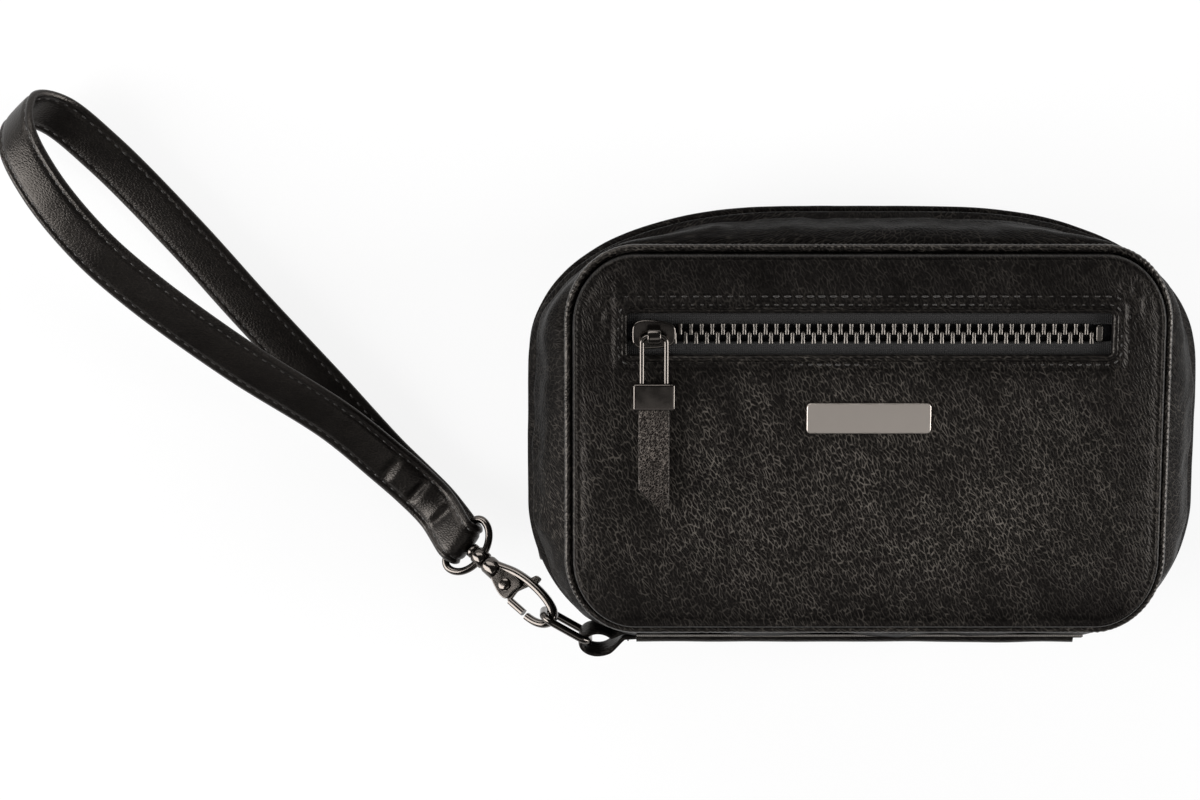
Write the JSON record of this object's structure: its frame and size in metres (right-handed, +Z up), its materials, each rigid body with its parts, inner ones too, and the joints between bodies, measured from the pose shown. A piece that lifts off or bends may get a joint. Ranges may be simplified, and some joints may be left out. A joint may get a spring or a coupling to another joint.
{
  "type": "glucose meter case",
  "caption": "Soft zip-around meter case with flared sides, zipped front pocket, blank metal plate, hinged lid with loops inside, and a wrist strap on a swivel snap hook.",
  "frame": {"origin": "centre of the back panel's flat face, which the case lies on", "axes": "+X along the spine towards the end away from the strap, +Y from the spine to the opening side, +Z up out of the front panel"},
  "size_m": [0.2934, 0.1395, 0.0585],
  "materials": {
    "leather": "semi-gloss pebbled",
    "lining": "matte woven",
    "board": "matte",
    "webbing": "matte woven",
    "gunmetal": "polished dark nickel",
    "satin_plate": "satin gunmetal"
  },
  "bodies": {
    "back_shell": {"back_panel": "leather", "back_piping": "leather", "back_gusset": "leather", "back_board": "board", "back_lining": "lining", "back_zip_tape": "webbing", "back_zip_teeth": "gunmetal", "main_zip_start_stop": "gunmetal", "main_zip_end_stop": "gunmetal", "meter_elastic": "webbing", "lancet_pen_elastic": "webbing", "strip_vial_elastic": "webbing", "spine_strip": "leather", "loop_tab": "leather"},
    "front_shell": {"front_panel": "leather", "front_piping": "leather", "front_gusset": "leather", "front_board": "board", "front_lining": "lining", "front_zip_tape": "webbing", "front_zip_teeth": "gunmetal", "slip_pocket": "lining", "slip_pocket_binding": "webbing", "pocket_welt": "leather", "pocket_tape_upper": "webbing", "pocket_tape_lower": "webbing", "pocket_teeth_upper": "gunmetal", "pocket_teeth_lower": "gunmetal", "pocket_zip_stop_left": "gunmetal", "pocket_zip_stop_right": "gunmetal", "pocket_bag": "lining", "name_plate": "satin_plate"},
    "pocket_slider": {"pocket_slider": "gunmetal"},
    "pocket_pull": {"pocket_pull_bail": "gunmetal", "pocket_pull_ferrule": "gunmetal", "pocket_pull_tab": "leather"},
    "main_slider": {"main_slider": "gunmetal"},
    "main_pull": {"main_pull_bail": "gunmetal", "main_pull_ferrule": "gunmetal", "main_pull_tab": "leather"},
    "chain_link": {"chain_link": "gunmetal"},
    "hook": {"hook_body": "gunmetal", "gate_pin": "gunmetal", "gate_spring": "gunmetal", "swivel_post": "gunmetal"},
    "hook_gate": {"hook_gate": "gunmetal"},
    "swivel_ring": {"swivel_ring": "gunmetal"},
    "strap": {"wrist_strap": "leather"}
  },
  "joints": [
    {"name": "lid_open", "type": "hinge", "parent": "back_shell", "child": "front_shell", "pos_m": [0, -0.0535, 0.027], "axis": [1, 0, 0], "range_deg": [0, 175], "deforming": ["spine_strip"]},
    {"name": "pocket_slide", "type": "slide", "parent": "front_shell", "child": "pocket_slider", "axis": [1, 0, 0], "range_m": [0, 0.102]},
    {"name": "pocket_pull_flip", "type": "hinge", "parent": "pocket_slider", "child": "pocket_pull", "pos_m": [-0.0512, 0.0266, 0.0567], "axis": [-1, 0, 0], "range_deg": [0, 170]},
    {"name": "main_slide", "type": "slide", "parent": "back_shell", "child": "main_slider", "axis": [0, 1, 0], "range_m": [0, 0.021]},
    {"name": "main_pull_flip", "type": "hinge", "parent": "main_slider", "child": "main_pull", "pos_m": [-0.07975, -0.0125, 0.027], "axis": [0, 0, -1], "range_deg": [0, 165]},
    {"name": "link_swing", "type": "hinge", "parent": "back_shell", "child": "chain_link", "pos_m": [-0.06685, -0.0551, 0.027], "axis": [0, 0, 1], "range_deg": [-5, 55]},
    {"name": "hook_swing", "type": "hinge", "parent": "chain_link", "child": "hook", "pos_m": [-0.07811, -0.0486, 0.027], "axis": [0, 0, 1], "range_deg": [-5, 40]},
    {"name": "gate_press", "type": "hinge", "parent": "hook", "child": "hook_gate", "pos_m": [-0.08751, -0.04276, 0.02113], "axis": [-0.3798, 0.2759, 0.8829], "range_deg": [0, 18], "stiffness_Nm_per_rad": 0.05, "deforming": ["gate_spring"]},
    {"name": "ring_swivel", "type": "hinge", "parent": "hook", "child": "swivel_ring", "pos_m": [-0.09407, -0.037, 0.01651], "axis": [-0.7143, 0.519, -0.4695], "continuous": true},
    {"name": "strap_flap", "type": "hinge", "parent": "swivel_ring", "child": "strap", "pos_m": [-0.09957, -0.033, 0.01289], "axis": [0.5878, 0.809, 0], "range_deg": [0, 25]}
  ]
}
